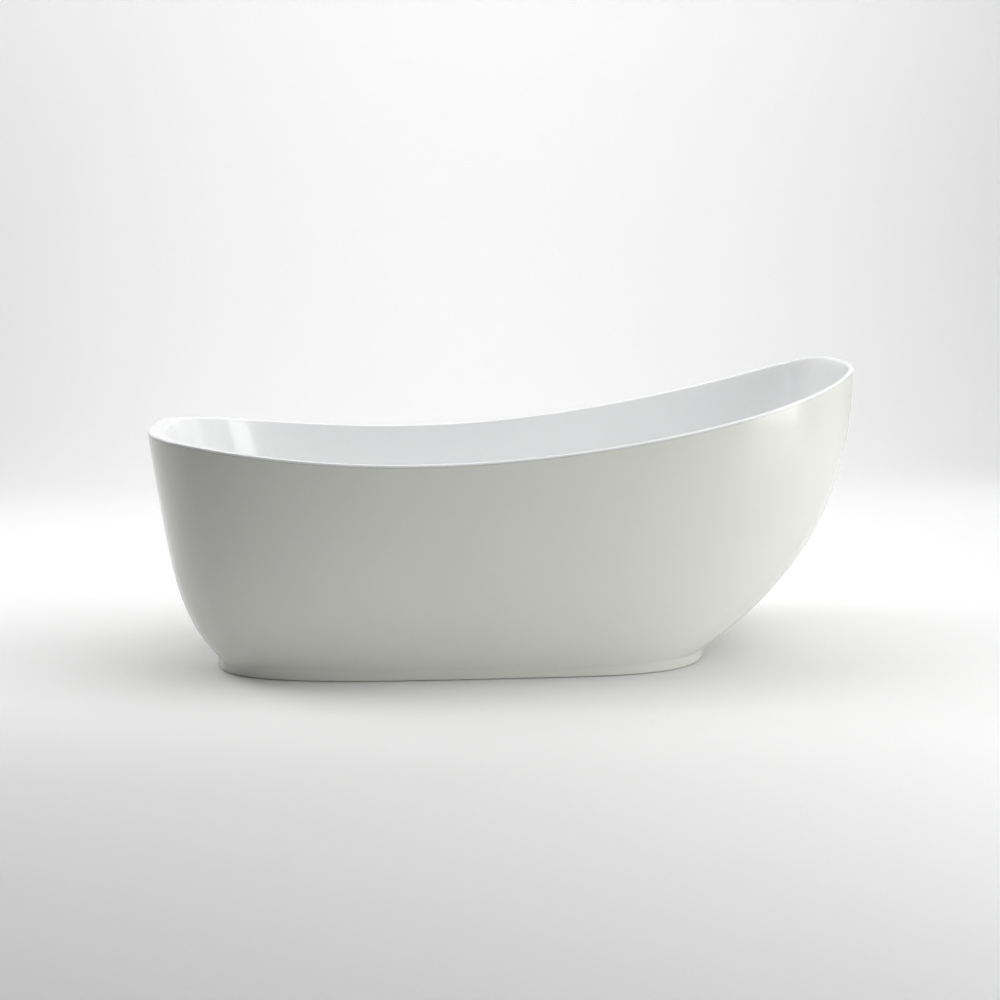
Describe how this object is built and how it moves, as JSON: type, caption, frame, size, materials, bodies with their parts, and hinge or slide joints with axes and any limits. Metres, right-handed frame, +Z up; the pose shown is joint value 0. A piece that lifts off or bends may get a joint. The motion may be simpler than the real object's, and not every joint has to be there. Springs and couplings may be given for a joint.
{
  "type": "freestanding bathtub",
  "caption": "Freestanding double-wall slipper bathtub with a raised backrest end, thin rolled rim, recessed plinth, press-down drain stopper and levelling feet.",
  "frame": {"origin": "on the floor under the middle of the tub's length and width", "axes": "+X towards the high backrest end, +Y across the tub, +Z up"},
  "size_m": [1.6992, 0.7928, 0.7197],
  "materials": {
    "skirt_acrylic": "polished white acrylic",
    "basin_acrylic": "polished white acrylic",
    "adhesive": "cured seam adhesive",
    "laminate": "glass-fibre laminate",
    "board": "raw particle board",
    "frame_paint": "black powder coat",
    "zinc": "bright zinc plate",
    "chrome": "polished chrome",
    "brass": "turned brass",
    "rubber": "black rubber",
    "black_plastic": "moulded black nylon",
    "waste_plastic": "white moulded waste fittings",
    "hose_plastic": "grey flexible hose"
  },
  "bodies": {
    "root": {"outer_shell": "skirt_acrylic", "inner_shell": "basin_acrylic", "rim_bond": "adhesive", "floor_laminate": "laminate", "floor_board": "board", "crossbar_foot": "frame_paint", "crossbar_head": "frame_paint", "rail_front": "frame_paint", "rail_back": "frame_paint", "fixing_tabs": "frame_paint", "board_screws": "zinc", "tube_plugs": "black_plastic", "weld_nuts": "zinc", "lock_nuts": "zinc", "skirt_blocks": "board", "skirt_brackets": "frame_paint", "bracket_screws": "zinc", "drain_flange": "chrome", "drain_gasket": "rubber", "drain_washer": "rubber", "drain_locknut": "brass", "drain_shoe": "waste_plastic", "waste_pipe": "waste_plastic", "waste_tee": "waste_plastic", "tailpiece": "waste_plastic", "slip_nuts": "waste_plastic", "overflow_flange": "chrome", "overflow_cover": "chrome", "overflow_front_seal": "rubber", "overflow_rear_seal": "rubber", "overflow_locknut": "waste_plastic", "overflow_elbow": "waste_plastic", "overflow_hose": "hose_plastic"},
    "stopper": {"stopper_cap": "chrome", "stopper_seal": "rubber", "stopper_stem": "brass"},
    "foot_end_front_pad": {"foot_end_front_pad": "black_plastic"},
    "foot_end_front_stud": {"foot_end_front_stud": "zinc"},
    "foot_end_back_pad": {"foot_end_back_pad": "black_plastic"},
    "foot_end_back_stud": {"foot_end_back_stud": "zinc"},
    "head_end_front_pad": {"head_end_front_pad": "black_plastic"},
    "head_end_front_stud": {"head_end_front_stud": "zinc"},
    "head_end_back_pad": {"head_end_back_pad": "black_plastic"},
    "head_end_back_stud": {"head_end_back_stud": "zinc"}
  },
  "joints": [
    {"name": "stopper_press", "type": "slide", "parent": "root", "child": "stopper", "axis": [0, 0, 1], "range_m": [-0.009, 0]},
    {"name": "foot_end_front_lift", "type": "slide", "parent": "root", "child": "foot_end_front_pad", "axis": [0, 0, 1], "range_m": [-0.015, 0.004]},
    {"name": "foot_end_front_turn", "type": "hinge", "parent": "foot_end_front_pad", "child": "foot_end_front_stud", "pos_m": [-0.5, -0.205, 0.05], "axis": [0, 0, 1], "range_deg": [-3090, 825]},
    {"name": "foot_end_back_lift", "type": "slide", "parent": "root", "child": "foot_end_back_pad", "axis": [0, 0, 1], "range_m": [-0.015, 0.004]},
    {"name": "foot_end_back_turn", "type": "hinge", "parent": "foot_end_back_pad", "child": "foot_end_back_stud", "pos_m": [-0.5, 0.205, 0.05], "axis": [0, 0, 1], "range_deg": [-3090, 825]},
    {"name": "head_end_front_lift", "type": "slide", "parent": "root", "child": "head_end_front_pad", "axis": [0, 0, 1], "range_m": [-0.015, 0.004]},
    {"name": "head_end_front_turn", "type": "hinge", "parent": "head_end_front_pad", "child": "head_end_front_stud", "pos_m": [0.33, -0.205, 0.05], "axis": [0, 0, 1], "range_deg": [-3090, 825]},
    {"name": "head_end_back_lift", "type": "slide", "parent": "root", "child": "head_end_back_pad", "axis": [0, 0, 1], "range_m": [-0.015, 0.004]},
    {"name": "head_end_back_turn", "type": "hinge", "parent": "head_end_back_pad", "child": "head_end_back_stud", "pos_m": [0.33, 0.205, 0.05], "axis": [0, 0, 1], "range_deg": [-3090, 825]}
  ],
  "couplings": [
    {"joint": "foot_end_front_turn", "follows": "foot_end_front_lift", "rad_per_m": 3590.4},
    {"joint": "foot_end_back_turn", "follows": "foot_end_back_lift", "rad_per_m": 3590.4},
    {"joint": "head_end_front_turn", "follows": "head_end_front_lift", "rad_per_m": 3590.4},
    {"joint": "head_end_back_turn", "follows": "head_end_back_lift", "rad_per_m": 3590.4}
  ]
}
